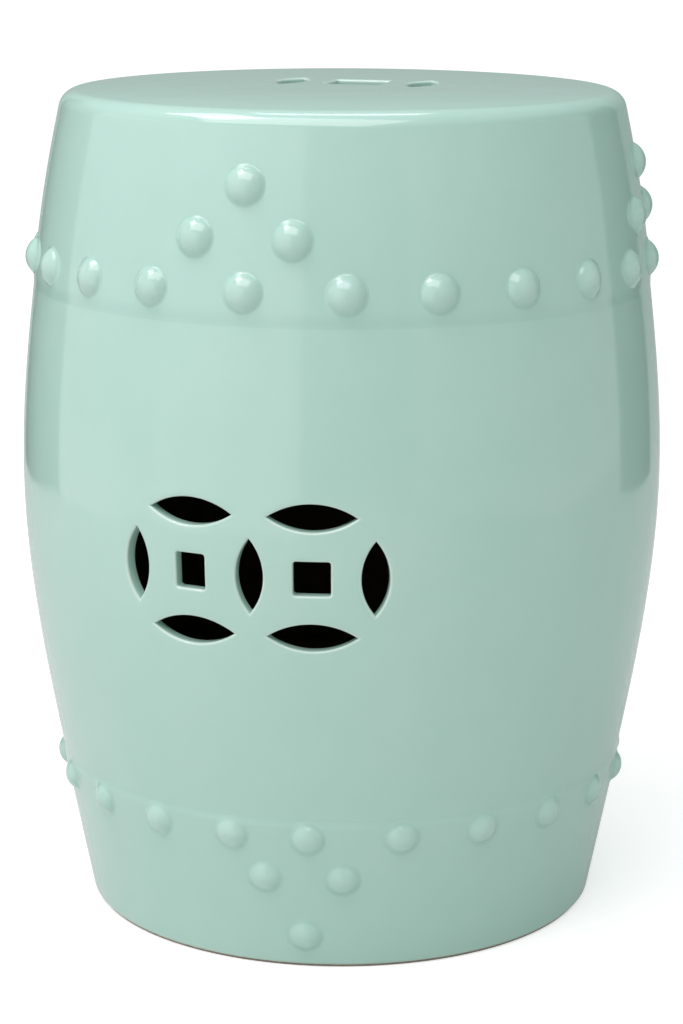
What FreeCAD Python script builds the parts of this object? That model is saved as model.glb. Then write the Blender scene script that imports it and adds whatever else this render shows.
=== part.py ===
import FreeCAD, Part
import math
import os
from FreeCAD import Vector

# A barrel-shaped garden stool in stoneware. Millimetres, +Z up, the origin at the centre of the foot on
# the floor. The pierced double coin faces -Y. Angles round the drum run from -Y towards +X.

# Overall height, to the crown of the seat
stool_height = 457.0
seat_crown_rise = 3.9        # how far the crown stands above the seat's rim

# Outer radii of the belly line, read upwards
foot_radius = 141.7
lower_line_radius = 158.4
belly_radius = 177.8
upper_line_radius = 169.5
neck_radius = 160.9
rim_radius = 151.9

# Heights of those radii: the lower ones from the floor, the upper ones down from the rim
lower_line_height = 85.9
belly_height = 240.0
upper_line_depth = 100.9
neck_depth = 43.0

# Thicknesses
wall_thickness = 8.0
seat_thickness = 10.0
band_proud = 0.8             # the two bands stand this far out of the belly line
shoulder_radius = 10.7       # rounding between wall and seat

# Joints between the rings: the inner half of the lower ring stands up behind the upper ring
wall_lap = 8.0
seat_lap = 4.0
slip_thickness = 0.1         # film of slip that holds a stud to the wall

# Foot ring, unglazed, set in under the wall
foot_reveal = 1.2            # how much of it shows below the wall
foot_inset = 1.5
foot_ring_height = 9.0
foot_ring_width = 28.0

# Coils of clay pressed into the inner joints
seat_coil_radius = 8.0
wall_coil_radius = 6.0
coil_bury = 0.5              # share of the coil's radius by which its centre lies inside the drum

# Double coin cut through the belly: squares as (width, height), petals as chord lengths
coin_height = 222.5          # height of the coins' centres
coin_pitch = 65.2            # from one coin's centre to the next
coin_squares = ((16.4, 18.6), (19.2, 17.8))
coin_corner_radius = 1.5
side_petal_length = 39.0
cross_petal_length = 46.0
cross_petal_distance = 31.4  # from a coin's centre to the petals above and below it
petal_width = 14.4

# Hand-hold cut through the seat, a little off the axis as the hand left it
hold_offset = 8.0
hold_square = 30.0
hold_petal_length = 44.0
hold_petal_width = 15.5
hold_petal_distance = 36.5

# Upper studs
upper_stud_diameter = 20.0
upper_stud_height = 5.6
upper_row_rise = 13.1        # from the upper line up to the row
upper_row_turn = -1.75       # angle of the front triangle's middle stud
upper_wide_pitch = 17.9      # degrees, on both sides of a triangle's middle stud
upper_gap_counts = (6, 5, 5, 6)  # gaps from one triangle's middle stud to the next
upper_eased_sector = 0       # between these two triangles only the first gap is wide
upper_triangle_step = 26.2   # height between the rows of a triangle
upper_triangle_shift = -0.5  # degrees by which a triangle lies off its middle stud

# Lower studs
lower_stud_diameter = 17.2
lower_stud_height = 4.4
lower_row_drop = 8.8         # from the lower line down to the row
lower_row_turn = 10.5
lower_row_count = 22
lower_triangle_shift = -1.6  # degrees by which a triangle and its middle stud lie off the even row
lower_side_spread = 0.9      # degrees by which the studs at the sides are set further from the front
lower_tail_shift = -1.0      # degrees by which the studs under the row lie off the middle stud
lower_triangle_spread = 15.6  # degrees between the two studs of its second row
lower_second_drop = 23.8
lower_tip_drop = 57.8

# Heights worked out from the sizes above
rim_height = stool_height - seat_crown_rise
upper_line_height = rim_height - upper_line_depth
neck_height = rim_height - neck_depth
seat_underside = rim_height - seat_thickness
seat_joint_height = seat_underside - seat_lap
upper_row_height = upper_line_height + upper_row_rise
lower_row_height = lower_line_height - lower_row_drop
half_wall = wall_thickness / 2.0


def belly_line():
    """The drum's outline, as a smooth line through the six named radii."""
    line = Part.BSplineCurve()
    line.interpolate([
        Vector(foot_radius, 0, 0),
        Vector(lower_line_radius, 0, lower_line_height),
        Vector(belly_radius, 0, belly_height),
        Vector(upper_line_radius, 0, upper_line_height),
        Vector(neck_radius, 0, neck_height),
        Vector(rim_radius, 0, rim_height),
    ])
    return line


outline = belly_line()


def parameter_at(height):
    """Where on the outline a height lies, found by halving."""
    low = outline.FirstParameter
    high = outline.LastParameter
    for _ in range(50):
        middle = (low + high) / 2.0
        if outline.value(middle).z < height:
            low = middle
        else:
            high = middle
    return (low + high) / 2.0


def wall_point(height, shift):
    """A point at a height, moved out of the outline by a distance."""
    point = outline.value(parameter_at(height))
    return Vector(point.x + shift, 0, height)


def section_edge(start, end):
    """An edge between two (height, shift) corners: along the outline if they share a shift."""
    if start[1] != end[1]:
        return Part.makeLine(wall_point(*start), wall_point(*end))
    line = outline.copy()
    line.translate(Vector(start[1], 0, 0))
    low, high = sorted((parameter_at(start[0]), parameter_at(end[0])))
    return line.toShape(low, high)


def turned(edges):
    """The solid that a closed section makes when it turns about the drum's axis."""
    wire = Part.Wire(Part.sortEdges(edges)[0])
    return Part.Face(wire).revolve(Vector(0, 0, 0), Vector(0, 0, 1), 360)


def section_path(corners):
    """The edges from each (height, shift) corner to the next one."""
    return [section_edge(start, end) for start, end in zip(corners, corners[1:])]


def turned_ring(corners):
    """A ring turned from (height, shift) corners."""
    return turned(section_path(corners + corners[:1]))


def crown_edge(edge_point):
    """The seat's curve from the axis to its edge: nearly level, falling away towards the edge."""
    radius = edge_point.x
    points = []
    for share in (0.0, 0.35, 0.6, 0.8, 1.0):
        fall = seat_crown_rise * share ** 4
        points.append(Vector(radius * share, 0, edge_point.z + seat_crown_rise - fall))
    curve = Part.BSplineCurve()
    end_slope = Vector(radius, 0, -4.0 * seat_crown_rise)
    curve.interpolate(Points=points, InitialTangent=Vector(radius, 0, 0), FinalTangent=end_slope)
    return curve.toShape()


def foot_ring():
    """The unglazed ring that the stool stands on, with a register inside the wall."""
    outer = band_proud - foot_inset
    inner = -wall_thickness - foot_ring_width
    return turned_ring([
        (0.0, inner),
        (0.0, outer),
        (foot_reveal, outer),
        (foot_reveal, -wall_thickness),
        (foot_ring_height, -wall_thickness),
        (foot_ring_height, inner),
    ])


def lower_band():
    """The wall from the foot to the lower line, with a tongue for the belly."""
    return turned_ring([
        (foot_reveal, band_proud),
        (lower_line_height, band_proud),
        (lower_line_height, -half_wall),
        (lower_line_height + wall_lap, -half_wall),
        (lower_line_height + wall_lap, -wall_thickness),
        (foot_reveal, -wall_thickness),
    ])


def lens(length, width):
    """A pointed petal lying along X in the plane z = 0."""
    tip = length / 2.0
    side = width / 2.0
    right = Vector(tip, 0, 0)
    left = Vector(-tip, 0, 0)
    upper = Part.Arc(right, Vector(0, side, 0), left).toShape()
    lower = Part.Arc(left, Vector(0, -side, 0), right).toShape()
    return Part.Face(Part.Wire([upper, lower]))


def rounded_rectangle(width, height, corner):
    """A rectangle with rounded corners in the plane z = 0."""
    plate = Part.makeBox(width, height, 1.0, Vector(-width / 2.0, -height / 2.0, 0))
    upright = [edge for edge in plate.Edges if abs(edge.tangentAt(edge.FirstParameter).z) > 0.5]
    rounded = plate.makeFillet(corner, upright)
    return min(rounded.Faces, key=lambda face: face.CenterOfMass.z)


def belly_punch(shape, along, above, turn=0.0):
    """A hole's shape stood up against the belly and pushed inwards along the radius.

    along is measured round the belly from the motif's middle, above from the coins' centres."""
    reach = belly_radius + band_proud
    shape = shape.copy()
    shape.rotate(Vector(0, 0, 0), Vector(0, 0, 1), turn)
    shape.rotate(Vector(0, 0, 0), Vector(1, 0, 0), 90)
    shape.translate(Vector(0, -reach, coin_height + above))
    punch = shape.extrude(Vector(0, reach / 2.0, 0))
    punch.rotate(Vector(0, 0, 0), Vector(0, 0, 1), math.degrees(along / belly_radius))
    return punch


def double_coin():
    """All the holes of one double coin: three upright petals, two squares, four level petals."""
    punches = []
    for place in (-1, 0, 1):
        petal = lens(side_petal_length, petal_width)
        punches.append(belly_punch(petal, place * coin_pitch, 0.0, turn=90))
    for side, (width, height) in zip((-1, 1), coin_squares):
        centre = side * coin_pitch / 2.0
        square = rounded_rectangle(width, height, coin_corner_radius)
        punches.append(belly_punch(square, centre, 0.0))
        for level in (-1, 1):
            petal = lens(cross_petal_length, petal_width)
            punches.append(belly_punch(petal, centre, level * cross_petal_distance))
    return punches


def belly_wall():
    """The barrel wall between the two lines, pierced in front and at the back."""
    ring = turned_ring([
        (lower_line_height, 0.0),
        (upper_line_height, 0.0),
        (upper_line_height, -half_wall),
        (upper_line_height + wall_lap, -half_wall),
        (upper_line_height + wall_lap, -wall_thickness),
        (lower_line_height + wall_lap, -wall_thickness),
        (lower_line_height + wall_lap, -half_wall),
        (lower_line_height, -half_wall),
    ])
    front = Part.makeCompound(double_coin())
    back = front.copy()
    back.rotate(Vector(0, 0, 0), Vector(0, 0, 1), 180)
    return ring.cut(front).cut(back)


def upper_band():
    """The wall from the upper line to the shoulder, with a tongue for the seat."""
    return turned_ring([
        (upper_line_height, band_proud),
        (seat_joint_height, band_proud),
        (seat_joint_height, -half_wall),
        (seat_underside, -half_wall),
        (seat_underside, -wall_thickness),
        (upper_line_height + wall_lap, -wall_thickness),
        (upper_line_height + wall_lap, -half_wall),
        (upper_line_height, -half_wall),
    ])


def seat_holes():
    """The hand-hold: a square between two petals, pushed up through the seat."""
    square = rounded_rectangle(hold_square, hold_square, coin_corner_radius)
    shapes = [square]
    for side in (-1, 1):
        petal = lens(hold_petal_length, hold_petal_width)
        petal.rotate(Vector(0, 0, 0), Vector(0, 0, 1), 90)
        petal.translate(Vector(side * hold_petal_distance, 0, 0))
        shapes.append(petal)
    holes = Part.makeCompound([shape.extrude(Vector(0, 0, stool_height)) for shape in shapes])
    holes.translate(Vector(hold_offset, 0, seat_joint_height))
    return holes


def seat_slab():
    """The crowned seat with its rounded shoulder; its rim drops over the wall's tongue."""
    rim_point = wall_point(rim_height, band_proud)
    underside_point = wall_point(seat_underside, -wall_thickness)
    crown = Vector(0, 0, stool_height)
    hollow_crown = Vector(0, 0, seat_underside + seat_crown_rise)
    rim = section_path([
        (seat_underside, -wall_thickness),
        (seat_underside, -half_wall),
        (seat_joint_height, -half_wall),
        (seat_joint_height, band_proud),
        (rim_height, band_proud),
    ])
    edges = rim + [
        crown_edge(rim_point),
        Part.makeLine(crown, hollow_crown),
        crown_edge(underside_point),
    ]
    slab = turned(edges)
    shoulder = [edge for edge in slab.Edges if is_circle_at(edge, rim_point)]
    slab = slab.makeFillet(shoulder_radius, shoulder)
    return slab.cut(seat_holes())


def is_circle_at(edge, point):
    """Whether an edge is the circle that a point makes about the axis."""
    end = edge.valueAt(edge.FirstParameter)
    near_height = abs(end.z - point.z) < 0.01
    return near_height and abs(math.hypot(end.x, end.y) - point.x) < 0.01


def drum_inside():
    """The hollow under the seat, as a solid."""
    top_point = wall_point(seat_underside, -wall_thickness)
    bottom_point = wall_point(0.0, -wall_thickness)
    edges = [
        section_edge((0.0, -wall_thickness), (seat_underside, -wall_thickness)),
        crown_edge(top_point),
        Part.makeLine(Vector(0, 0, seat_underside + seat_crown_rise), Vector(0, 0, 0)),
        Part.makeLine(Vector(0, 0, 0), bottom_point),
    ]
    return turned(edges)


def joint_coil(height, radius):
    """A coil of clay pressed against the inside of the wall."""
    seat = wall_point(height, -wall_thickness)
    coil = Part.makeTorus(seat.x - coil_bury * radius, radius, Vector(0, 0, height))
    return coil.common(drum_inside()).Solids[0]


def slipped_drum():
    """The whole drum as far as the slip on the bands, solid through."""
    face = band_proud + slip_thickness
    top_point = wall_point(rim_height, face)
    bottom_point = wall_point(0.0, face)
    edges = [
        section_edge((0.0, face), (rim_height, face)),
        Part.makeLine(top_point, Vector(0, 0, rim_height)),
        Part.makeLine(Vector(0, 0, rim_height), Vector(0, 0, 0)),
        Part.makeLine(Vector(0, 0, 0), bottom_point),
    ]
    return turned(edges)


def stud_cap(height, diameter, rise):
    """One stud at the front of the drum: the cap of a ball that stands out of the band."""
    ball_radius = (diameter * diameter / 4.0 + rise * rise) / (2.0 * rise)
    step = 1.0
    along = wall_point(height + step, band_proud) - wall_point(height - step, band_proud)
    outward = Vector(along.z, 0, -along.x)
    outward.normalize()
    centre = wall_point(height, band_proud) + outward * (rise - ball_radius)
    ball = Part.makeSphere(ball_radius, centre)
    ball.rotate(centre, Vector(0, 0, 1), 180)
    ball.rotate(Vector(0, 0, 0), Vector(0, 0, 1), -90)
    return ball.cut(slipped_drum()).Solids[0]


def studs(places, diameter, rise):
    """Separate studs at (angle, height) places, each lying on the band."""
    caps = {height: stud_cap(height, diameter, rise) for height in {place[1] for place in places}}
    solids = []
    for angle, height in places:
        cap = caps[height].copy()
        cap.rotate(Vector(0, 0, 0), Vector(0, 0, 1), angle)
        solids.append(cap)
    return Part.makeCompound(solids)


def upper_row_angles():
    """The upper row's angles, and those of the triangles' middle studs."""
    gap_count = sum(upper_gap_counts)
    wide_count = 2 * len(upper_gap_counts)
    pitch = (360.0 - wide_count * upper_wide_pitch) / (gap_count - wide_count)
    angles = []
    middles = []
    angle = upper_row_turn
    for sector, gaps in enumerate(upper_gap_counts):
        middles.append(angle)
        if sector == upper_eased_sector:
            eased = pitch + (upper_wide_pitch - pitch) / (gaps - 1)
            steps = [upper_wide_pitch] + [eased] * (gaps - 1)
        else:
            steps = [upper_wide_pitch] + [pitch] * (gaps - 2) + [upper_wide_pitch]
        for step in steps:
            angles.append(angle)
            angle += step
    return angles, middles


def upper_triangle(middle):
    """Three studs stacked over a stud of the upper row."""
    second = upper_row_height + upper_triangle_step
    top = second + upper_triangle_step
    half = upper_wide_pitch / 2.0
    centre = middle + upper_triangle_shift
    return [(centre - half, second), (centre + half, second), (centre, top)]


def lower_row_angles():
    """The lower row's angles; the triangles' middle studs, first and opposite, lie a little off."""
    pitch = 360.0 / lower_row_count
    angles = []
    for index in range(lower_row_count):
        along = index * pitch
        angles.append(lower_row_turn + along + lower_side_spread * math.sin(math.radians(along)))
    middles = [0, lower_row_count // 2]
    for index in middles:
        angles[index] += lower_triangle_shift
    return angles, [angles[index] for index in middles]


def lower_triangle(middle):
    """Three studs hanging under a stud of the lower row."""
    second = lower_row_height - lower_second_drop
    tip = lower_row_height - lower_tip_drop
    half = lower_triangle_spread / 2.0
    centre = middle + lower_tail_shift
    return [(centre - half, second), (centre + half, second), (centre, tip)]


def build():
    """Every node by name."""
    nodes = {
        "foot_ring": foot_ring(),
        "lower_band": lower_band(),
        "belly_wall": belly_wall(),
        "upper_band": upper_band(),
        "seat_slab": seat_slab(),
        "lower_joint_coil": joint_coil(lower_line_height + wall_lap, wall_coil_radius),
        "upper_joint_coil": joint_coil(upper_line_height + wall_lap, wall_coil_radius),
        "seat_joint_coil": joint_coil(seat_underside, seat_coil_radius),
    }
    angles, middles = upper_row_angles()
    row = [(angle, upper_row_height) for angle in angles]
    nodes["upper_row_studs"] = studs(row, upper_stud_diameter, upper_stud_height)
    for side, middle in zip(("front", "right", "back", "left"), middles):
        places = upper_triangle(middle)
        nodes[side + "_upper_triangle_studs"] = studs(places, upper_stud_diameter, upper_stud_height)
    angles, middles = lower_row_angles()
    row = [(angle, lower_row_height) for angle in angles]
    nodes["lower_row_studs"] = studs(row, lower_stud_diameter, lower_stud_height)
    for side, middle in zip(("front", "back"), middles):
        places = lower_triangle(middle)
        nodes[side + "_lower_triangle_studs"] = studs(places, lower_stud_diameter, lower_stud_height)
    return nodes


os.makedirs("parts", exist_ok=True)
for name, shape in build().items():
    shape.exportStep("parts/" + name + ".step")
    print(name, len(shape.Solids), "solids", round(shape.Volume / 1000.0, 1), "cm3", shape.isValid())
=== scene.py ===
# %% [markdown]
# # Dressing a ceramic garden stool
#
# The stool is a drum of glazed stoneware: a crowned seat, two raised bands, a barrel wall pierced with a
# double coin, and rows of round studs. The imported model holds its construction. This lesson gives every
# piece a finely meshed skin with soft arrises, a glaze that pools and thins over them, and a studio.

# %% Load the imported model
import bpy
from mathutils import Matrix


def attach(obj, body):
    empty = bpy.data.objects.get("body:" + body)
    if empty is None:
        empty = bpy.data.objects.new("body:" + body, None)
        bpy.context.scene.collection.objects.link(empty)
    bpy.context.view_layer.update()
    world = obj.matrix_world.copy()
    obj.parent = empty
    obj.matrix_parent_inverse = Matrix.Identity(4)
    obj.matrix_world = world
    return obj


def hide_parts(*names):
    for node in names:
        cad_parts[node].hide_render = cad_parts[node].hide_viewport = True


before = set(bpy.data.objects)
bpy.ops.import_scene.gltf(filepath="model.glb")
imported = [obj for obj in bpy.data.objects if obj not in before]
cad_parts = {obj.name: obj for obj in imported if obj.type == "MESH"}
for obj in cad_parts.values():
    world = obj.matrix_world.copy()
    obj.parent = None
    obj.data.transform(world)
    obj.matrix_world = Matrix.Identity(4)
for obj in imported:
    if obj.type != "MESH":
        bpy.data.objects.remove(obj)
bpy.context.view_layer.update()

# %% [markdown]
# ## Sizes
#
# A potter works from a few sizes: the radius at each height of the drum, the wall, the height of the
# bands. They are given here in millimetres, as on the drawing, and turned to metres only when a mesh is
# made. Angles run round the drum from its front (-Y) towards +X.

# %% Sizes of the drum, in millimetres
import math
import bpy
import numpy as np
from mathutils import Matrix, Vector
from mathutils.geometry import delaunay_2d_cdt

MM = 0.001
lower_line = 85.9                 # top of the lower band
upper_line = 352.2                # bottom of the upper band
rim = 453.1                       # where wall and seat would meet in a corner
belly_radius = 177.8
drum_radii = np.array((141.7, 158.4, belly_radius, 169.5, 160.9, 151.9))
drum_heights = np.array((0.0, lower_line, 240.0, upper_line, 410.1, rim))
seat_crown_rise = 3.9
crown_power = 4                   # nearly level in the middle, steeper outwards
facet_loss = 0.07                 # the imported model's flat facets lie this far inside its belly
wall = 8.0
half_wall = wall / 2.0
seat_thickness = 10.0
seat_underside = rim - seat_thickness
seat_joint = seat_underside - 4.0
wall_lap = 8.0                    # height of the half-lap joints
lower_lap_top = lower_line + wall_lap
upper_lap_top = upper_line + wall_lap
band_proud = 0.8
shoulder = 10.7                   # radius of the rounded edge between wall and seat
foot_reveal = 1.2                 # height of bare foot that shows under the glaze
print("the drum is", 2.0 * belly_radius, "mm across and", rim + seat_crown_rise, "mm high")

# %% [markdown]
# ## The outline
#
# The wall is one smooth barrel line, as a throwing rib leaves it. A natural cubic spline through the six
# radii gives such a line: it bends as a thin wooden batten would. It is sampled finely once, and every
# piece then asks this one table for its radius, so that neighbours always meet.

# %% A smooth outline through the drum's radii
line_samples = 4001


def natural_bends(knots, values):
    """Second derivatives of the natural cubic spline through values at knots."""
    count = len(knots)
    matrix = np.eye(count)
    right = np.zeros(count)
    for i in range(1, count - 1):
        before = knots[i] - knots[i - 1]
        after = knots[i + 1] - knots[i]
        matrix[i, i - 1:i + 2] = (before, 2.0 * (before + after), after)
        rise_after = (values[i + 1] - values[i]) / after
        rise_before = (values[i] - values[i - 1]) / before
        right[i] = 6.0 * (rise_after - rise_before)
    return np.linalg.solve(matrix, right)


def spline_values(knots, values, at):
    """The spline's values at many places."""
    bends = natural_bends(knots, values)
    span = np.clip(np.searchsorted(knots, at, side="right") - 1, 0, len(knots) - 2)
    width = knots[span + 1] - knots[span]
    high = (at - knots[span]) / width
    low = 1.0 - high
    curve = ((low ** 3 - low) * bends[span] + (high ** 3 - high) * bends[span + 1]) * width ** 2 / 6.0
    return low * values[span] + high * values[span + 1] + curve


chords = np.hypot(np.diff(drum_radii), np.diff(drum_heights))
knots = np.concatenate(([0.0], np.cumsum(chords)))
fine = np.linspace(0.0, knots[-1], line_samples)
line_heights = spline_values(knots, drum_heights, fine)
line_radii = spline_values(knots, drum_radii, fine) - facet_loss
line_slopes = np.gradient(line_radii, line_heights)


def radius_at(height):
    """The outline's radius at a height."""
    return np.interp(height, line_heights, line_radii)


def lean_at(height):
    """How far the wall's normal looks up at a height, in radians."""
    return -np.arctan(np.interp(height, line_heights, line_slopes))


print("radius at the lines:", np.round(radius_at((lower_line, upper_line)), 2), "mm")

# %% [markdown]
# ## Mesh helpers
#
# Everything on the drum is turned, so most meshes are rings of points joined row to row. A piece also
# carries one number per point, the depth of its glaze: glaze runs thin over an edge and pools in a
# corner, and the colour follows it later.

# %% Making a piece from points and faces
around = 384                      # points round the drum; a chord then strays 6 micrometres
column_angle = 2.0 * math.pi / around
round_angles = np.arange(around) * column_angle
glaze_even = 0.5                  # glaze depth: 0 is a bare edge, 0.5 even, 1 a deep pool
OUTSIDE, INSIDE = 0, 1            # the two sides of a piece, as places of their finishes and loops
crease_angle = math.radians(40.0)
pieces = []


def on_drum(angle, height, radius):
    """Points round the drum's axis."""
    angle, height, radius = np.broadcast_arrays(angle, height, radius)
    return np.stack((radius * np.sin(angle), -radius * np.cos(angle), height), axis=-1)


class Clay:
    """Points and faces of one piece, gathered as they are made."""

    def __init__(self):
        self.points = []
        self.depths = []
        self.faces = []
        self.finish = []
        self.count = 0

    def add(self, points, depth=glaze_even):
        """Adds points and returns the first one's number."""
        first = self.count
        self.points.append(points)
        self.depths.append(np.broadcast_to(depth, len(points)))
        self.count += len(points)
        return first

    def face(self, corners, kind):
        """Adds one face."""
        self.faces.append(tuple(int(corner) for corner in corners))
        self.finish.append(kind)

    def ring(self, first, second, size, kind):
        """Quads from one closed row of points to the next."""
        for i in range(size):
            j = (i + 1) % size
            self.face((first + i, first + j, second + j, second + i), kind)

    def rings(self, rows, size, kind):
        """Quads between closed rows of points, each joined to the next."""
        for first, second in zip(rows, rows[1:]):
            self.ring(first, second, size, kind)

    def fan(self, row, size, tip, kind):
        """Triangles from a closed row of points to one point."""
        for i in range(size):
            self.face((row + i, row + (i + 1) % size, tip), kind)


def linked(name, data):
    """A new object in the scene."""
    thing = bpy.data.objects.new(name, data)
    bpy.context.scene.collection.objects.link(thing)
    return thing


def make_piece(node, finish, clay):
    """A smooth mesh piece that rides on the stool and replaces its node."""
    name = node + "_" + finish
    points = np.concatenate(clay.points)
    depths = np.concatenate(clay.depths)
    used = np.unique([corner for face in clay.faces for corner in face])
    place = np.full(len(points), -1)
    place[used] = np.arange(len(used))
    faces = [[int(place[corner]) for corner in face] for face in clay.faces]
    mesh = bpy.data.meshes.new(name)
    mesh.from_pydata((points[used] * MM).tolist(), [], faces)
    mesh.polygons.foreach_set("use_smooth", [True] * len(mesh.polygons))
    mesh.polygons.foreach_set("material_index", clay.finish)
    layer = mesh.attributes.new("glaze_depth", "FLOAT", "POINT")
    layer.data.foreach_set("value", depths[used].astype(np.float32))
    mesh.set_sharp_from_angle(angle=crease_angle)
    piece = linked(name, mesh)
    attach(piece, "root")
    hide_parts(node)
    pieces.append((piece, finish))
    print(name, "has", len(mesh.polygons), "faces")


def turned(profile, kinds, depths):
    """The closed (radius, height) profile turned round the axis, with a finish for each of its steps."""
    clay = Clay()
    rows = [clay.add(on_drum(round_angles, height, radius), depth)
            for (radius, height), depth in zip(profile, depths)]
    for row, above, kind in zip(rows, rows[1:] + rows[:1], kinds):
        clay.ring(row, above, around, kind)
    return clay

# %% [markdown]
# ## Soft steps
#
# The bands stand 0.8 mm proud of the belly, but under a coat of glaze that step has no corner left. It
# is a smooth S over a few millimetres, and its foot runs out on the belly's own surface, so no gap shows.

# %% Band profiles with a soft step
upper_step_width = 9.0
lower_step_width = 6.0
sink = 0.012                      # feathered edges end this far under the surface they lie on
row_pitch = 3.0
line_pool = 0.08                  # glaze gained where a band meets the belly
foot_wipe = 0.35                  # glaze lost where the foot is wiped


def at_shift(height, shift):
    """The profile point at a height, moved out of the outline by a shift."""
    return float(radius_at(height)) + shift, float(height)


def wall_path(start, end, shift):
    """Profile points along the wall between two heights, moved out by a shift."""
    count = max(2, int(round(abs(end - start) / row_pitch)) + 1)
    return [at_shift(level, shift) for level in np.linspace(start, end, count)]


def s_curve(share):
    """Rises smoothly from 0 to 1 as share does."""
    share = np.clip(share, 0.0, 1.0)
    return share * share * (3.0 - 2.0 * share)


def soft_step(line, width, outward, count=16):
    """Points of the S from the belly's face (first) to the band's face (last)."""
    path = []
    for share in np.linspace(0.0, 1.0, count + 1):
        level = line + outward * width * (share - 0.5)
        path.append((float(radius_at(level)) - sink + (band_proud + sink) * float(s_curve(share)), level))
    return path


def face_shift(level):
    """How far the glazed face stands out from the outline at a height."""
    up = s_curve((level - upper_line) / upper_step_width + 0.5)
    down = s_curve((lower_line - level) / lower_step_width + 0.5)
    return band_proud * (up + down)


def turned_piece(node, outside, inside, pools):
    """A glazed ring from its outer path and its inner path, both read upwards.

    A pool is (height, reach, change): the glaze depth changes by that much near a height."""
    profile = outside + inside[::-1]
    kinds = [OUTSIDE] * (len(outside) - 1) + [INSIDE] * (len(inside) + 1)
    depths = []
    for _, height in profile:
        change = sum(part * math.exp(-((height - level) / reach) ** 2) for level, reach, part in pools)
        depths.append(glaze_even + change)
    make_piece(node, "glazed", turned(profile, kinds, depths))


upper_step = soft_step(upper_line, upper_step_width, 1.0)
upper_outside = upper_step + wall_path(upper_step[-1][1], seat_joint, band_proud)[1:]
upper_inside = [at_shift(upper_line, -half_wall), at_shift(upper_lap_top, -half_wall)]
upper_inside += wall_path(upper_lap_top, seat_underside, -wall)
upper_inside += [at_shift(seat_underside, -half_wall), at_shift(seat_joint, -half_wall)]
turned_piece("upper_band", upper_outside, upper_inside, [(upper_line - 2.0, 4.0, line_pool)])

foot_roll = 2.2                   # radius of the rounded edge under the lower band
roll_points = 9
roll = []
for turn in np.linspace(0.0, math.pi / 2.0, roll_points):
    level = foot_reveal + foot_roll * (1.0 - math.sin(turn))
    roll.append((float(radius_at(level)) + band_proud - foot_roll * (1.0 - math.cos(turn)), level))
lower_step = soft_step(lower_line, lower_step_width, -1.0)[::-1]
lower_outside = roll[::-1] + wall_path(foot_reveal + foot_roll, lower_step[0][1], band_proud)[1:]
lower_outside += lower_step[1:]
lower_inside = wall_path(foot_reveal, lower_lap_top, -wall)
lower_inside += [at_shift(lower_lap_top, -half_wall), at_shift(lower_line, -half_wall)]
turned_piece("lower_band", lower_outside, lower_inside,
             [(lower_line + 1.0, 2.5, line_pool), (foot_reveal, 1.5, -foot_wipe)])

# %% [markdown]
# ## Holes with rounded arrises
#
# The coin is cut through leather-hard clay with a thin blade, then the edges are wiped with a wet sponge,
# and the glaze rounds them further. A hole is therefore a stack of loops: from the skin round the arris,
# through the wall, and round the inner arris. A petal is two arcs that meet in points; grown outwards it
# stays two arcs, so every loop has the same count of points.

# %% Outlines of petals and squares
arris = 1.5                       # radius of the rounded edge of a hole
arris_steps = 6
arris_thinning = 0.32             # glaze lost on the crest of an arris


def petal_loop(length, width, grow, count=48):
    """A petal along the first axis, grown by an amount; points run anticlockwise from the right tip."""
    arc_radius = (length * length + width * width) / (4.0 * width)
    centre = arc_radius - width / 2.0
    grown = arc_radius + grow
    reach = math.acos(centre / grown)
    turns = np.linspace(reach, -reach, count, endpoint=False)
    upper = np.stack((grown * np.sin(turns), grown * np.cos(turns) - centre), axis=-1)
    return np.concatenate((upper, -upper))


def square_loop(width, height, corner, grow, side_count=10, corner_count=6):
    """A rounded rectangle, grown by an amount; points run anticlockwise."""
    half = np.array((width / 2.0 - corner, height / 2.0 - corner))
    arcs = []
    for index, side in enumerate(((1, 1), (-1, 1), (-1, -1), (1, -1))):
        turns = (index + np.linspace(0.0, 1.0, corner_count + 1)) * math.pi / 2.0
        arcs.append(half * side + (corner + grow) * np.stack((np.cos(turns), np.sin(turns)), axis=-1))
    points = []
    for arc, after in zip(arcs, arcs[1:] + arcs[:1]):
        points += [arc, np.linspace(arc[-1], after[0], side_count + 1)[1:-1]]
    return np.concatenate(points)


def upright(loop):
    """A loop turned by a quarter."""
    return np.stack((-loop[:, 1], loop[:, 0]), axis=-1)


def arris_path(thickness):
    """(grow, depth, glaze) of each loop through a wall, from the outer skin to the inner one."""
    path = []
    for turn in np.linspace(0.0, math.pi / 2.0, arris_steps + 1):
        thin = glaze_even - arris_thinning * math.sin(2.0 * turn)
        path.append((arris * (1.0 - math.sin(turn)), arris * (1.0 - math.cos(turn)), thin))
    back = [(grow, thickness - depth, thin) for grow, depth, thin in path[::-1]]
    return path + back


# %% [markdown]
# A regular grid can't have such holes in it, so the skin round them is a Delaunay triangulation: grid
# points that keep clear of the holes, the holes' own outer loops, and the border, with each loop kept
# as an unbroken chain of edges. Triangles inside a hole are then dropped.

# %% Filling a skin around its holes
clear_of_hole = 1.9               # grid points keep this far from a hole
merge_distance = 1e-6


def inside_loop(points, loop):
    """Which points lie inside a closed loop."""
    hit = np.zeros(len(points), dtype=bool)
    following = np.roll(loop, -1, axis=0)
    for (x0, y0), (x1, y1) in zip(loop, following):
        if y0 == y1:
            continue
        crosses = (y0 > points[:, 1]) != (y1 > points[:, 1])
        at = x0 + (points[:, 1] - y0) * (x1 - x0) / (y1 - y0)
        hit ^= crosses & (points[:, 0] < at)
    return hit


def outside(points, loops):
    """Which points lie outside all loops."""
    return ~np.any([inside_loop(points, loop) for loop in loops], axis=0)


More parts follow.
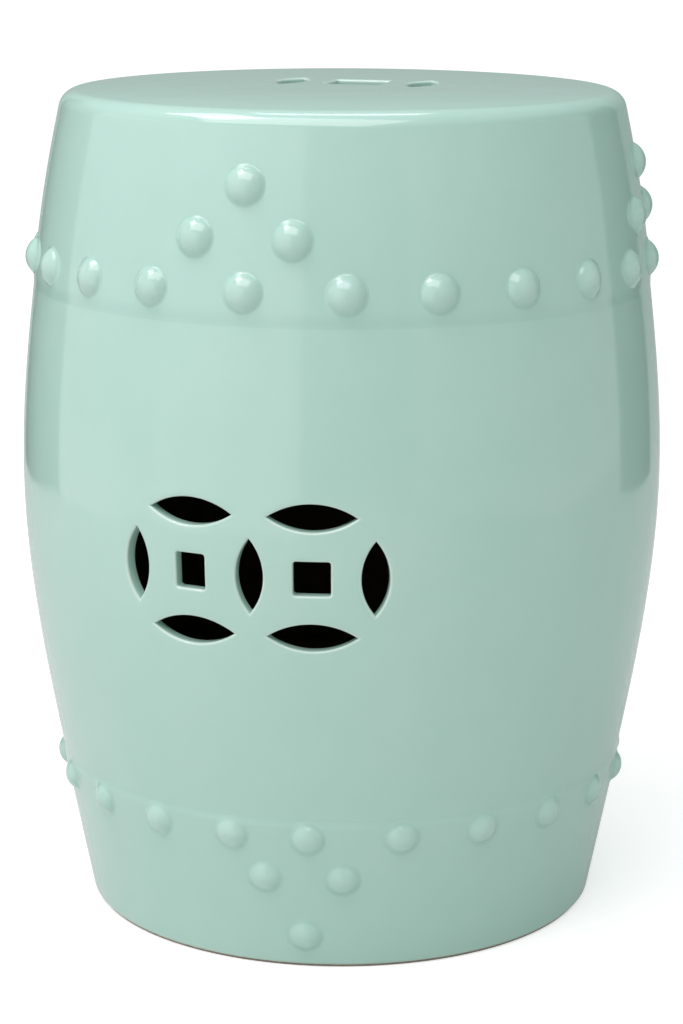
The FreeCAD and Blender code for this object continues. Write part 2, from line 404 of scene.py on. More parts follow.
def keep_clear(points, loops, distance):
    """The points that are outside all loops and more than a distance away from them."""
    keep = outside(points, loops)
    for loop in loops:
        keep &= np.linalg.norm(points[:, None, :] - loop[None, :, :], axis=-1).min(axis=1) > distance
    return points[keep]


def filled_skin(border, loops, grid):
    """Triangles between a border and holes. Returns all points in order and the triangles."""
    inner = keep_clear(grid, loops, clear_of_hole)
    chains = [border] + list(loops)
    points = np.concatenate(chains + [inner])
    edges = []
    start = 0
    for chain in chains:
        size = len(chain)
        edges += [(start + i, start + (i + 1) % size) for i in range(size)]
        start += size
    corners = [Vector(point) for point in points]
    _, _, found, origins, _, _ = delaunay_2d_cdt(corners, edges, [], 0, merge_distance)
    triangles = np.array([[origins[i][0] for i in face] for face in found])
    return points, triangles[outside(points[triangles].mean(axis=1), loops)]


def hole_rings(clay, thickness, placed, *where):
    """A hole's loops through a wall; placed gives a loop's points for a growth and a depth.

    Returns the first numbers of the outer and the inner loop, and their size."""
    rings = []
    for grow, depth, thin in arris_path(thickness):
        points = placed(*where, grow, depth)
        rings.append(clay.add(points, thin))
    clay.rings(rings[:arris_steps + 2], len(points), OUTSIDE)
    clay.rings(rings[arris_steps + 1:], len(points), INSIDE)
    return (rings[0], rings[-1]), len(points)


def fill_skin(clay, border, starts, free_points, triangles, kind):
    """Adds the triangles between a border, the holes' loops on this side and free points."""
    numbers = list(border)
    for ends, size in starts:
        numbers += range(ends[kind], ends[kind] + size)
    first = clay.add(free_points)
    numbers += range(first, first + len(free_points))
    for triangle in triangles:
        corners = [numbers[i] for i in triangle]
        clay.face(corners if kind == OUTSIDE else corners[::-1], kind)

# %% [markdown]
# ## The pierced belly
#
# The double coin is three upright petals, two squares and four level petals. It is cut straight in
# along the radius through each hole's middle, so a point of a hole keeps its sideways distance as the
# blade goes through the wall. The same triangles serve for the outer skin and the inner one.

# %% Holes of the double coin
coin_height = 222.5
coin_pitch = 65.2
coin_squares = ((16.4, 18.6), (19.2, 17.8))
coin_corner = 1.5
side_petal_length = 39.0
cross_petal_length = 46.0
cross_petal_distance = 31.4
petal_width = 14.4


def coin_holes():
    """Each hole of one double coin: angle, height above the coins' middle, function of growth."""
    holes = []
    for place in (-1, 0, 1):
        holes.append((place * coin_pitch / belly_radius, 0.0,
                      lambda grow: upright(petal_loop(side_petal_length, petal_width, grow))))
    for side, (width, height) in zip((-1, 1), coin_squares):
        angle = side * coin_pitch / 2.0 / belly_radius
        holes.append((angle, 0.0,
                      lambda grow, w=width, h=height: square_loop(w, h, coin_corner, grow)))
        for level in (-1, 1):
            holes.append((angle, level * cross_petal_distance,
                          lambda grow: petal_loop(cross_petal_length, petal_width, grow)))
    return holes


def pierced_points(loop, angle, above, shift):
    """(angle, height) of a loop pushed in along a radius, where it meets the wall moved by a shift."""
    levels = coin_height + above + loop[:, 1]
    return angle + np.arcsin(loop[:, 0] / (radius_at(levels) + shift)), levels


# %% The belly's grid
lap_row_count = 4
belly_row_count = 88
lap_rows = np.linspace(lower_line, lower_lap_top, lap_row_count)
belly_rows = np.concatenate((lap_rows, np.linspace(lower_lap_top, upper_line, belly_row_count)[1:]))
first_inner_row = lap_row_count - 1
window_columns = 29               # columns of the grid each side of the coin's middle
window_margin = 12.0              # clay between the tallest petals and the window's edge
window_reach = cross_petal_distance + petal_width / 2.0 + window_margin
in_window = np.flatnonzero(np.abs(belly_rows - coin_height) < window_reach)
first_row, last_row = int(in_window[0]), int(in_window[-1])
windows = (0, around // 2)        # columns of the front coin's middle and the back one's


def wall_points(angle, height, shift):
    """Points on the wall, moved out of the outline by a shift."""
    return on_drum(angle, height, radius_at(height) + shift)


def grid_skin(clay, shift, rows_from, kind):
    """The plain part of one skin. Returns the number of its first point."""
    first = clay.add(wall_points(np.tile(round_angles, len(belly_rows)),
                                 np.repeat(belly_rows, around), shift))
    for row in range(rows_from, len(belly_rows) - 1):
        for column in range(around):
            near = min(abs((column + 0.5 - middle + around / 2) % around - around / 2)
                       for middle in windows)
            if near < window_columns and first_row <= row < last_row:
                continue
            beside = (column + 1) % around
            quad = [first + row * around + column, first + row * around + beside,
                    first + (row + 1) * around + beside, first + (row + 1) * around + column]
            clay.face(quad if kind == OUTSIDE else quad[::-1], kind)
    return first


def window_border():
    """(column, row) of the grid points round the window, anticlockwise."""
    side = window_columns
    border = [(column, first_row) for column in range(-side, side)]
    border += [(side, row) for row in range(first_row, last_row)]
    border += [(column, last_row) for column in range(side, -side, -1)]
    border += [(-side, row) for row in range(last_row, first_row, -1)]
    return border


def unrolled(places):
    """(column, row) places of the grid, unrolled onto a plane."""
    return np.array([(column * column_angle * belly_radius, belly_rows[row]) for column, row in places])


# %% The windows with their holes
holes = coin_holes()
border = window_border()
flat_border = unrolled(border)
flat_grid = unrolled([(column, row) for column in range(1 - window_columns, window_columns)
                      for row in range(first_row + 1, last_row)])
flat_loops = []
for angle, above, shape in holes:
    turn, level = pierced_points(shape(arris), angle, above, 0.0)
    flat_loops.append(np.stack((turn * belly_radius, level), axis=-1))
flat, triangles = filled_skin(flat_border, flat_loops, flat_grid)
flat_free = flat[len(border) + sum(len(loop) for loop in flat_loops):]
print("one window has", len(triangles), "triangles round", len(holes), "holes")


def hole_points(hole, angle, grow, depth):
    """Points of a hole's loop at a depth in the wall, in the window at an angle."""
    turn_to, above, shape = hole
    turn, level = pierced_points(shape(grow), turn_to, above, -depth)
    return wall_points(turn + angle, level, -depth)


def window_skin(clay, middle, skin_start, shift, starts, kind):
    """The triangles of one window on one skin."""
    numbers = [skin_start + row * around + (column + middle) % around for column, row in border]
    free = wall_points(flat_free[:, 0] / belly_radius + middle * column_angle, flat_free[:, 1], shift)
    fill_skin(clay, numbers, starts, free, triangles, kind)


# %% The belly wall as one closed body
belly_clay = Clay()
outer_skin = grid_skin(belly_clay, 0.0, 0, OUTSIDE)
inner_skin = grid_skin(belly_clay, -wall, first_inner_row, INSIDE)
for middle in windows:
    starts = [hole_rings(belly_clay, wall, hole_points, hole, middle * column_angle) for hole in holes]
    window_skin(belly_clay, middle, outer_skin, 0.0, starts, OUTSIDE)
    window_skin(belly_clay, middle, inner_skin, -wall, starts, INSIDE)


def lap_ring(height, shift):
    """A row of points in a lap joint."""
    return belly_clay.add(wall_points(round_angles, height, shift))


top_row = (len(belly_rows) - 1) * around
top_chain = [outer_skin + top_row, lap_ring(upper_line, -half_wall), lap_ring(upper_lap_top, -half_wall),
             lap_ring(upper_lap_top, -wall), inner_skin + top_row]
bottom_chain = [inner_skin + first_inner_row * around, lap_ring(lower_lap_top, -half_wall),
                lap_ring(lower_line, -half_wall), outer_skin]
belly_clay.rings(top_chain, around, INSIDE)
belly_clay.rings(bottom_chain, around, INSIDE)
make_piece("belly_wall", "glazed", belly_clay)

# %% [markdown]
# ## The seat
#
# The seat is a slab thrown on the wheel and luted on: nearly level in the middle, falling away to a
# rounded shoulder. A square and two petals are cut through it for a hand. The shoulder is a true arc
# that touches both the crown and the wall, found by moving its centre until it does.

# %% The seat's profile
seat_edge = float(radius_at(rim)) + band_proud
seat_under_edge = float(radius_at(seat_underside)) - wall
halvings = 50
shoulder_points = 19


def crown_height(radius, edge_radius, edge_height):
    """Height of the crowned face at a radius."""
    return edge_height + seat_crown_rise * (1.0 - (radius / edge_radius) ** crown_power)


def shoulder_centre(radius):
    """Centre of an arc that touches the crown at a radius, and the direction to the touching point."""
    slope = -crown_power * seat_crown_rise * radius ** (crown_power - 1) / seat_edge ** crown_power
    out = np.array((-slope, 1.0)) / math.hypot(slope, 1.0)
    touch = np.array((radius, crown_height(radius, seat_edge, rim)))
    return touch - shoulder * out, out


wall_line = np.stack((line_radii + band_proud, line_heights), axis=-1)
low, high = seat_edge - 2.0 * shoulder, seat_edge
for _ in range(halvings):
    middle_radius = (low + high) / 2.0
    centre, crown_out = shoulder_centre(middle_radius)
    gap = np.hypot(*(wall_line - centre).T).min()
    if gap > shoulder:
        low = middle_radius
    else:
        high = middle_radius
touching = wall_line[np.argmin(np.hypot(*(wall_line - centre).T))]
wall_out = (touching - centre) / shoulder
start_turn = math.atan2(wall_out[1], wall_out[0])
end_turn = math.atan2(crown_out[1], crown_out[0])
shoulder_path = [tuple(centre + shoulder * np.array((math.cos(turn), math.sin(turn))))
                 for turn in np.linspace(start_turn, end_turn, shoulder_points)]
print("the shoulder runs from height", round(shoulder_path[0][1], 2), "mm to radius",
      round(shoulder_path[-1][0], 2), "mm")

# %% The seat's middle, with the hand-hold
hold_offset = 8.0
hold_square = 30.0
hold_petal_length = 44.0
hold_petal_width = 15.5
hold_petal_distance = 36.5
plate_radius = 72.0               # the round plate that the holes are cut in
plate_pitch = 2.6                 # spacing of the plate's grid points
plate_margin = 1.8                # and how far they keep inside its edge
hold_holes = [(0.0, lambda grow: square_loop(hold_square, hold_square, coin_corner, grow))]
for side in (-1.0, 1.0):
    hold_holes.append((side * hold_petal_distance, lambda grow: upright(
        petal_loop(hold_petal_length, hold_petal_width, grow))))


def placed_hold(index, grow):
    """A hand-hold loop in its place on the seat."""
    along, shape = hold_holes[index]
    return shape(grow) + (hold_offset + along, 0.0)


plate_border = on_drum(round_angles, 0.0, plate_radius)[:, :2]
spread = np.arange(-plate_radius, plate_radius, plate_pitch)
plate_grid = np.array([(x, y) for x in spread for y in spread
                       if math.hypot(x, y) < plate_radius - plate_margin])
hold_loops = [placed_hold(index, arris) for index in range(len(hold_holes))]
plate, plate_triangles = filled_skin(plate_border, hold_loops, plate_grid)
plate_free = plate[around + sum(len(loop) for loop in hold_loops):]
print("the seat's plate has", len(plate_triangles), "triangles")

# %% The seat as one closed body
seat_clay = Clay()
crown_rows = 26                   # rows of points from the shoulder to the plate
under_rows = 20                   # and from the plate to the wall, underneath


def seat_row(radius, height):
    """A row of points round the seat."""
    return seat_clay.add(on_drum(round_angles, height, radius))


def seat_face_points(flat_points, upper):
    """Points on the seat's top or underside at flat places."""
    reach = np.hypot(flat_points[:, 0], flat_points[:, 1])
    edge, edge_height = (seat_edge, rim) if upper else (seat_under_edge, seat_underside)
    return np.column_stack((flat_points, crown_height(reach, edge, edge_height)))


def hold_points(index, grow, depth):
    """Points of a hand-hold loop at a depth in the seat."""
    loop = placed_hold(index, grow)
    share = depth / seat_thickness
    return seat_face_points(loop, True) * (1.0 - share) + seat_face_points(loop, False) * share


outer_path = wall_path(seat_joint, shoulder_path[0][1], band_proud)[:-1] + shoulder_path
rows = [seat_row(radius, height) for radius, height in outer_path]
for radius in np.linspace(shoulder_path[-1][0], plate_radius, crown_rows)[1:]:
    rows.append(seat_row(radius, crown_height(radius, seat_edge, rim)))
seat_clay.rings(rows, around, OUTSIDE)
under = [seat_row(radius, crown_height(radius, seat_under_edge, seat_underside))
         for radius in np.linspace(plate_radius, seat_under_edge, under_rows)]
under += [seat_row(*at_shift(seat_underside, -half_wall)), seat_row(*at_shift(seat_joint, -half_wall))]
under.append(rows[0])
seat_clay.rings(under, around, INSIDE)
starts = [hole_rings(seat_clay, seat_thickness, hold_points, index) for index in range(len(hold_holes))]
for row, kind in ((rows[-1], OUTSIDE), (under[0], INSIDE)):
    fill_skin(seat_clay, range(row, row + around), starts,
              seat_face_points(plate_free, kind == OUTSIDE), plate_triangles, kind)
make_piece("seat_slab", "glazed", seat_clay)

# %% [markdown]
# ## Foot ring and luting coils
#
# The stool stands on a bare ring: glaze would weld it to the kiln shelf, so it is wiped off. Inside, a
# coil of soft clay is pressed into each joint with a thumb, which leaves it slightly uneven.

# %% The foot ring and the coils
foot_set_back = 1.5               # the bare ring lies this far inside the band's face
foot_ledge = 28.0                 # and reaches this far in past the wall
foot_outer = band_proud - foot_set_back
foot_inner = -wall - foot_ledge
foot_height = 9.0
foot_edge = 0.7                   # its corners are eased by this much


def eased_corner(corner, before, after, radius, count=4):
    """Points of a small arc in place of a profile corner."""
    corner, before, after = (np.array(point) for point in (corner, before, after))
    start = corner + radius * (before - corner) / np.linalg.norm(before - corner)
    end = corner + radius * (after - corner) / np.linalg.norm(after - corner)
    shares = np.linspace(0.0, 1.0, count + 1)
    return [tuple((1 - t) ** 2 * start + 2 * t * (1 - t) * corner + t ** 2 * end) for t in shares]


foot_corners = [at_shift(0.0, foot_outer), at_shift(foot_reveal, foot_outer),
                at_shift(foot_reveal, -wall), at_shift(foot_height, -wall),
                at_shift(foot_height, foot_inner), at_shift(0.0, foot_inner)]
eased_ones = (0, 4, 5)            # the corners that no other piece covers
foot_profile = []
for index, corner in enumerate(foot_corners):
    if index in eased_ones:
        foot_profile += eased_corner(corner, foot_corners[index - 1],
                                     foot_corners[(index + 1) % len(foot_corners)], foot_edge)
    else:
        foot_profile.append(corner)
count = len(foot_profile)
make_piece("foot_ring", "bare", turned(foot_profile, [OUTSIDE] * count, [glaze_even] * count))

coil_points = 20
coil_sizes = {"lower_joint_coil": (lower_lap_top, 6.0),
              "upper_joint_coil": (upper_lap_top, 6.0),
              "seat_joint_coil": (seat_underside, 8.0)}
coil_inset = 0.5                  # from the wall's face to a coil's middle, as a share of its radius
thumb_width = 17.0                # a thumb's print along the coil
thumb_depth = 0.06                # and how much it presses, as a share of the coil's radius
drift_depth = 0.03                # the coil also swells and thins slowly
drift_waves = 7.0
coil_shrink = 0.1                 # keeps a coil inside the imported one
for node, (height, radius) in coil_sizes.items():
    clay = Clay()
    middle = float(radius_at(height)) - wall - coil_inset * radius
    prints = round(2.0 * math.pi * middle / thumb_width)
    press = thumb_depth * radius * np.cos(prints * round_angles)
    press += drift_depth * radius * np.cos(drift_waves * round_angles + radius)
    reach = radius - coil_shrink * radius + press
    ring_rows = []
    for turn in np.arange(coil_points) * 2.0 * math.pi / coil_points:
        out = middle + reach * math.cos(turn)
        ceiling = crown_height(out, seat_under_edge, seat_underside)
        level = np.minimum(height + reach * math.sin(turn), ceiling)
        out = np.minimum(out, radius_at(np.minimum(level, seat_underside)) - wall)
        ring_rows.append(clay.add(on_drum(round_angles, level, out)))
    clay.rings(ring_rows + ring_rows[:1], around, OUTSIDE)
    make_piece(node, "pressed", clay)

# %% [markdown]
# ## Studs
#
# The studs copy the nails that hold the skin on a wooden drum. Each is a button of clay pressed on the
# band; the glaze then fills the corner round it. So a stud is a ball's cap that runs out through a small
# hollow fillet, and its rim is feathered just under the band's face.

# %% One stud's shape
stud_columns = 56
cap_rows = 15
fillet_rows = 8
top_thinning = 0.05               # glaze lost on top of a stud
rim_pool = 0.12                   # glaze gained in the hollow round it
stud_back_depth = 0.5             # its back lies this far under the band's face
stud_back_shares = (0.99, 0.6, 0.25)


def stud_profile(diameter, rise, fillet):
    """(distance from the middle, height over the band, glaze depth) from the top to the feathered rim."""
    ball = (diameter * diameter / 4.0 + rise * rise) / (2.0 * rise)
    centre = rise - ball
    side = math.sqrt((ball + fillet) ** 2 - (fillet - sink - centre) ** 2)
    meet = math.atan2(side, fillet - sink - centre)
    path = []
    for turn in np.linspace(0.0, meet, cap_rows)[1:]:
        path.append((ball * math.sin(turn), centre + ball * math.cos(turn),
                     glaze_even - top_thinning * math.cos(turn) ** 2))
    for turn in np.linspace(meet, 0.0, fillet_rows)[1:]:
        pool = glaze_even + rim_pool * math.sin(math.pi * turn / meet)
        path.append((side - fillet * math.sin(turn), fillet - sink - fillet * math.cos(turn), pool))
    return [(0.0, rise, glaze_even - top_thinning)] + path


def stud_points(angle, height, distance, above, directions):
    """Points at a distance round a stud's middle, at a height over the band's face."""
    lean = float(lean_at(height))
    level = height + distance * np.sin(directions) * math.cos(lean)
    radius = radius_at(level) + face_shift(level)
    turn = angle + distance * np.cos(directions) / radius
    leans = lean_at(level)
    return on_drum(turn, level + above * np.sin(leans), radius + above * np.cos(leans))


def add_stud(clay, angle, height, profile):
    """One closed stud: its cap, its feathered rim and a back just under the band's face."""
    directions = np.arange(stud_columns) * 2.0 * math.pi / stud_columns
    top_distance, top_above, top_depth = profile[0]
    tip = clay.add(stud_points(angle, height, top_distance, top_above, directions[:1]), top_depth)
    rows = [clay.add(stud_points(angle, height, distance, above, directions), depth)
            for distance, above, depth in profile[1:]]
    for outer, inner in zip(rows[1:], rows):
        clay.ring(outer, inner, stud_columns, OUTSIDE)
    clay.fan(rows[0], stud_columns, tip, OUTSIDE)
    back = [clay.add(stud_points(angle, height, profile[-1][0] * share, -stud_back_depth, directions))
            for share in stud_back_shares]
    back_tip = clay.add(stud_points(angle, height, 0.0, -stud_back_depth, directions[:1]))
    for outer, inner in zip([rows[-1]] + back, back):
        clay.ring(inner, outer, stud_columns, OUTSIDE)
    for i in range(stud_columns):
        clay.face((back[-1] + (i + 1) % stud_columns, back[-1] + i, back_tip), OUTSIDE)


def make_studs(node, places, profile):
    """A group of studs at (angle in degrees, height) places."""
    clay = Clay()
    for angle, height in places:
        add_stud(clay, math.radians(angle), height, profile)
    make_piece(node, "glazed", clay)


# %% The rows and triangles of studs


def triangle(centre, spread, pair_row, tip_row):
    """Places of a pair of studs and of the single one at the tip."""
    return [(centre - spread / 2.0, pair_row), (centre + spread / 2.0, pair_row), (centre, tip_row)]


upper_stud = stud_profile(diameter=20.0, rise=5.6, fillet=2.8)
lower_stud = stud_profile(diameter=17.2, rise=4.4, fillet=4.8)
upper_row_rise = 13.1             # from the line to the middles of the upper row
lower_row_drop = 8.8
upper_row = upper_line + upper_row_rise
lower_row = lower_line - lower_row_drop
wide_pitch = 17.9                 # degrees between the studs beside a triangle
gap_counts = (6, 5, 5, 6)         # gaps from one upper triangle's middle stud to the next
even_pitch = (360.0 - 2 * len(gap_counts) * wide_pitch) / (sum(gap_counts) - 2 * len(gap_counts))
eased_sector = 0                  # between these two triangles only the first gap is wide
triangle_step = 26.2              # height from one row of a triangle to the next
second_row = upper_row + triangle_step
third_row = second_row + triangle_step
triangle_shift = -0.5
angle = -1.75                     # of the stud under the front triangle
row_places = []
middles = []
for sector, gaps in enumerate(gap_counts):
    middles.append(angle)
    if sector == eased_sector:
        eased_pitch = even_pitch + (wide_pitch - even_pitch) / (gaps - 1)
        steps = [wide_pitch] + [eased_pitch] * (gaps - 1)
    else:
        steps = [wide_pitch] + [even_pitch] * (gaps - 2) + [wide_pitch]
    for step in steps:
        row_places.append((angle, upper_row))
        angle += step
make_studs("upper_row_studs", row_places, upper_stud)
for side, middle in zip(("front", "right", "back", "left"), middles):
    make_studs(side + "_upper_triangle_studs",
               triangle(middle + triangle_shift, wide_pitch, second_row, third_row), upper_stud)

lower_count = 22
lower_front_angle = 10.5
lower_side_spread = 0.9           # the studs at the sides are set a little further from the front
lower_middle_shift = 1.6          # and the ones over the triangles a little to one side
lower_angles = []
for index in range(lower_count):
    along = index * 360.0 / lower_count
    lower_angles.append(lower_front_angle + along
                        + lower_side_spread * math.sin(math.radians(along)))
for index in (0, lower_count // 2):
    lower_angles[index] -= lower_middle_shift
make_studs("lower_row_studs", [(angle, lower_row) for angle in lower_angles], lower_stud)
lower_spread = 15.6               # degrees between the pair of a lower triangle
lower_tail_shift = -1.0
pair_drop = 23.8                  # height from the lower row down to the pair
tail_drop = 57.8                  # and to the single stud
for side, middle in (("front", lower_angles[0]), ("back", lower_angles[lower_count // 2])):
    make_studs(side + "_lower_triangle_studs",
               triangle(middle + lower_tail_shift, lower_spread, lower_row - pair_drop,
                        lower_row - tail_drop), lower_stud)

# %% [markdown]
# ## Finishes
#
# The glaze is an opaque mint celadon: a glass coloured by a little copper and iron and clouded by tin,
# fired to a gloss, so its colour is soft and its reflections are sharp. Where it is thin, on arrises and
# on the tops of studs, the pale body shows through; where it pools it is deeper. Inside, the wall has
# only an iron wash, dark and dull. The foot is bare fired clay.

# %% Colours and nodes


def linear(hex_code):
    """An sRGB hex colour as linear red, green, blue and alpha."""
    values = [int(hex_code[i:i + 2], 16) / 255.0 for i in (1, 3, 5)]
    return [v / 12.92 if v <= 0.04045 else ((v + 0.055) / 1.055) ** 2.4 for v in values] + [1.0]


def add_node(tree, kind, inputs=None, **settings):
    """A node with its settings; an input is a value, an output, or a node for its first output."""
    node = tree.nodes.new("ShaderNode" + kind)
    for name, value in settings.items():
        setattr(node, name, value)
    for name, value in (inputs or {}).items():
        if isinstance(value, bpy.types.Node):
            value = value.outputs[0]
        if isinstance(value, bpy.types.NodeSocket):
            tree.links.new(value, node.inputs[name])
        else:
            node.inputs[name].default_value = value
    return node


def new_material(name):
    """An empty material. Returns it and its node tree."""
    material = bpy.data.materials.new(name)
    material.use_nodes = True
    material.node_tree.nodes.clear()
    return material, material.node_tree


def noise(tree, place, size, detail, roughness):
    """A cloudy noise with features of about this size in millimetres."""
    return add_node(tree, "TexNoise", {"Vector": place.outputs["Object"], "Scale": 1.0 / (size * MM),
                                       "Detail": detail, "Roughness": roughness})


def ranged(tree, value, old, new):
    """A value moved from its old range to a new one."""
    return add_node(tree, "MapRange", {"Value": value, "From Min": old[0], "From Max": old[1],
                                       "To Min": new[0], "To Max": new[1]})


def shaded(tree, value, stops):
    """The colour that a ramp of (position, colour) stops gives a value."""
    node = add_node(tree, "ValToRGB", {"Fac": value})
    elements = node.color_ramp.elements
    for position, _ in stops[1:-1]:
        elements.new(position)
    for element, (position, shade) in zip(elements, stops):
        element.position = position
        element.color = linear(shade)
    return node


def bump(tree, height, millimetres, **under):
    """A surface roughened to a height, over another bump if one is given as Normal."""
    return add_node(tree, "Bump", {"Height": height, "Strength": 1.0, "Distance": millimetres * MM, **under})


def set_surface(tree, shader):
    """Makes this shader the material's surface."""
    add_node(tree, "OutputMaterial", {"Surface": shader})

# %% The mint glaze
cloud_range = (0.3, 0.7)
glaze, tree = new_material("mint_celadon_glaze")
place = add_node(tree, "TexCoord")
layer = add_node(tree, "Attribute", attribute_name="glaze_depth")
cloud = noise(tree, place, size=55.0, detail=4.0, roughness=0.55)
total = add_node(tree, "Math", {0: layer.outputs["Fac"], 1: ranged(tree, cloud, cloud_range, (-0.03, 0.03))},
                 operation="ADD")
ripple = bump(tree, noise(tree, place, size=38.0, detail=1.0, roughness=0.4), 0.25)
peel = bump(tree, noise(tree, place, size=2.2, detail=2.0, roughness=0.5), 0.004, Normal=ripple)
set_surface(tree, add_node(tree, "BsdfPrincipled", {
    "Base Color": shaded(tree, total, ((0.0, "#D3E7DD"), (glaze_even, "#B0D6C9"), (1.0, "#8FC0B1"))),
    "Roughness": ranged(tree, cloud, cloud_range, (0.08, 0.11)), "Normal": peel, "IOR": 1.6}))
print(glaze.name, "has", len(tree.nodes), "nodes")

# %% Iron wash inside, bare clay at the foot


def clay_material(name, dark, light, roughness, grain, grit):
    """Fired clay without glaze: mottled, matt and slightly gritty."""
    material, tree = new_material(name)
    place = add_node(tree, "TexCoord")
    mottle = noise(tree, place, size=grain, detail=6.0, roughness=0.65)
    grits = noise(tree, place, size=grit, detail=3.0, roughness=0.7)
    set_surface(tree, add_node(tree, "BsdfPrincipled", {
        "Base Color": shaded(tree, mottle, ((0.32, dark), (0.68, light))),
        "Roughness": roughness, "Normal": bump(tree, grits, 0.12), "IOR": 1.5}))
    return material


iron_wash = clay_material("iron_washed_stoneware", "#332A1C", "#453926", roughness=0.7, grain=9.0, grit=0.8)
bare_clay = clay_material("bare_fired_stoneware", "#8B7F73", "#A89B8C", roughness=0.8, grain=6.0, grit=0.6)
finishes = {"bare": (bare_clay,), "pressed": (iron_wash,), "glazed": (glaze, iron_wash)}
for piece, finish in pieces:
    for material in finishes[finish]:
        piece.data.materials.append(material)
print("pieces with a finish:", len(pieces))

# %% [markdown]
# ## The studio
#
# A glossy pale pot is lit by what it mirrors: large soft panels close to it, with darker gaps between
# them that draw the form. Bearings are counted from the camera's own, to the right as it looks.

# %% Camera
camera_bearing = math.radians(15.35)
camera_place = Vector((0.4007, -1.4599, 0.5723))
camera_pitch = math.radians(13.245)
camera_roll = math.radians(0.148)
lens = bpy.data.cameras.new("camera")
lens.lens = 96.736
lens.sensor_width = 36.0
camera = linked("camera", lens)
aim = Matrix.Rotation(camera_bearing, 4, "Z") @ Matrix.Rotation(math.pi / 2.0 - camera_pitch, 4, "X")
aim = aim @ Matrix.Rotation(camera_roll, 4, "Z")
camera.matrix_world = Matrix.Translation(camera_place) @ aim
bpy.context.scene.camera = camera
print("the camera stands", round(camera_place.xy.length, 2), "m from the stool's axis")

# %% Soft panels


def studio_place(bearing, distance, height):
    """A place in the studio by its bearing from the camera's side, in degrees and metres."""
    angle = camera_bearing + math.radians(bearing)
    return Vector((distance * math.sin(angle), -distance * math.cos(angle), height))


warm_light = "#FFF1F7"            # of the panels' lamps


def soft_panel(name, bearing, distance, height, size, radiance, aim_height):
    """A softbox: a rectangle of light that faces the stool."""
    width, tall = size
    data = bpy.data.lights.new(name, "AREA")
    data.shape = "RECTANGLE"
    data.size = width
    data.size_y = tall
    data.color = linear(warm_light)[:3]
    data.energy = radiance * math.pi * width * tall
    panel = linked(name, data)
    panel.location = studio_place(bearing, distance, height)
    aim = Vector((0.0, 0.0, aim_height)) - panel.location
    panel.rotation_euler = aim.to_track_quat("-Z", "Y").to_euler()
    panel.visible_camera = False


soft_panel("left_front_softbox", -38.8, 1.05, 0.47, (1.0, 0.9), radiance=0.72, aim_height=0.47)
soft_panel("left_side_softbox", -88.0, 1.05, 0.47, (0.92, 0.9), radiance=0.4, aim_height=0.47)
soft_panel("right_softbox", 66.5, 1.15, 0.47, (2.18, 0.9), radiance=0.37, aim_height=0.47)
soft_panel("overhead_bank", -25.0, 0.95, 1.85, (2.0, 1.2), radiance=2.85, aim_height=0.3)
soft_panel("overhead_left_lamp", -84.0, 0.87, 1.9, (0.9, 0.6), radiance=4.6, aim_height=0.4)
soft_panel("overhead_back_lamp", 180.0, 0.45, 2.0, (0.8, 0.4), radiance=4.0, aim_height=0.4)
print("panels and lamps:", len(bpy.data.lights))

# %% [markdown]
# The floor is white paper that keeps the stool's shadow. It glows, more so away from the stool, so that
# the camera sees it white.

# %% The paper floor


def staged(name, corners, material):
    """A flat studio thing that isn't part of the stool."""
    mesh = bpy.data.meshes.new(name)
    mesh.from_pydata(corners, [], [(0, 1, 2, 3)])
    mesh.materials.append(material)
    thing = linked(name, mesh)
    return thing


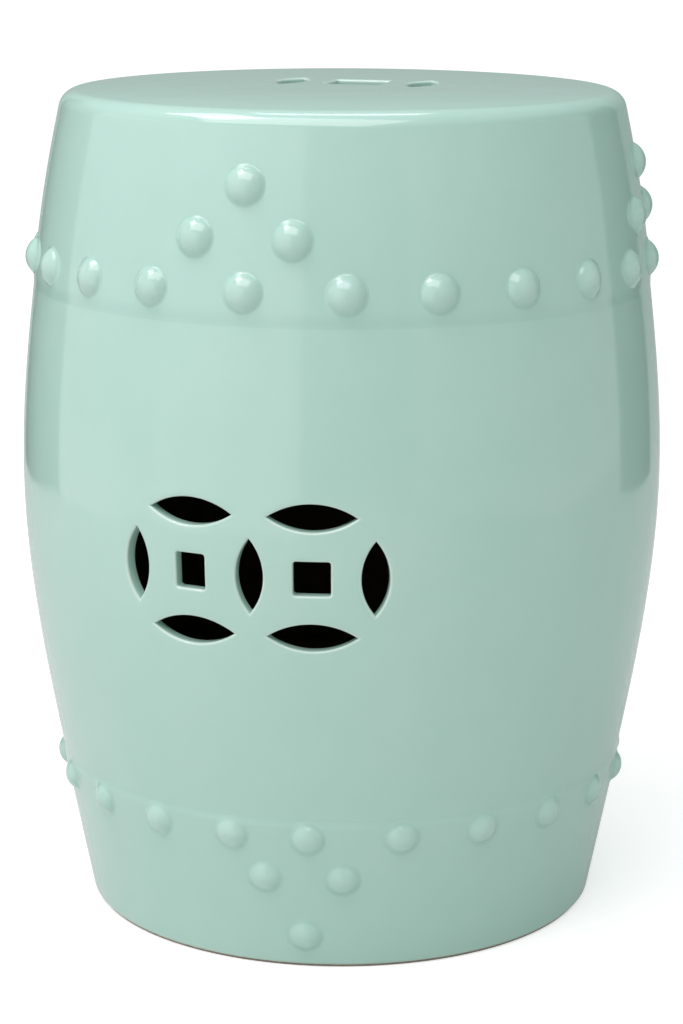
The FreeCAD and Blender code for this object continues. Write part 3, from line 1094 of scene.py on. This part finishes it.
mirrored_share = 0.15             # the paper looks dimmer in the glaze than to the eye
glow_reach = (0.3, 2.2)           # the glow grows between these distances from the stool's axis
paper_glow = (0.55, 0.8)
floor_reach = 25.0
paper, tree = new_material("white_paper")
ray = add_node(tree, "LightPath")
mirrored = add_node(tree, "Math", {0: ray.outputs["Is Glossy Ray"], 1: ray.outputs["Is Transmission Ray"]},
                    operation="MAXIMUM")
seen = add_node(tree, "Math", {0: mirrored, 1: mirrored_share, 2: ray.outputs["Is Camera Ray"]},
                operation="MULTIPLY_ADD")
place = add_node(tree, "TexCoord")
away = add_node(tree, "VectorMath", {0: place.outputs["Object"]}, operation="LENGTH")
lift = ranged(tree, away.outputs["Value"], glow_reach, paper_glow)
strength = add_node(tree, "Math", {0: lift, 1: seen}, operation="MULTIPLY")
glow = add_node(tree, "Emission", {"Color": linear("#FFFFFF"), "Strength": strength})
sheet = add_node(tree, "BsdfDiffuse", {"Color": linear("#E0E0DF")})
set_surface(tree, add_node(tree, "AddShader", {0: sheet, 1: glow}))
floor_corners = [(right * floor_reach, back * floor_reach, 0.0)
                 for right, back in ((-1, -1), (1, -1), (1, 1), (-1, 1))]
floor = staged("studio_floor", floor_corners, paper)
print("floor of", floor.dimensions.x, "by", floor.dimensions.y, "m")

# %% [markdown]
# Two grey flags behind the stool darken what its rims mirror, and act on nothing else. Beyond the paper
# the camera sees a white backdrop; the stool sees the room's own dim light.

# %% Flags, backdrop and room light
room_light = "#EDFFFA"            # a little cooler than the panels
room_strength = 0.385
felt, tree = new_material("grey_felt")
set_surface(tree, add_node(tree, "BsdfDiffuse", {"Color": linear("#5A5A5A")}))
flag_distance = 1.25
flag_height = 0.92
for name, first, last in (("right_flag", 110.0, 137.0), ("left_flag", -152.0, -112.5)):
    corners = [studio_place(bearing, flag_distance, level)
               for bearing, level in ((first, 0.0), (last, 0.0), (last, flag_height), (first, flag_height))]
    flag = staged(name, corners, felt)
    flag.visible_camera = False
    flag.visible_diffuse = False
    flag.visible_shadow = False
    print(name, "stands", flag_distance, "m away")

world = bpy.data.worlds.new("studio")
world.use_nodes = True
tree = world.node_tree
tree.nodes.clear()
sight = add_node(tree, "LightPath")
air = add_node(tree, "Background", {"Color": linear(room_light), "Strength": room_strength})
backdrop = add_node(tree, "Background", {"Color": linear("#FFFFFF"), "Strength": 1.0})
both = add_node(tree, "MixShader", {0: sight.outputs["Is Camera Ray"], 1: air, 2: backdrop})
add_node(tree, "OutputWorld", {"Surface": both})
bpy.context.scene.world = world
bpy.context.scene.view_settings.view_transform = "Standard"
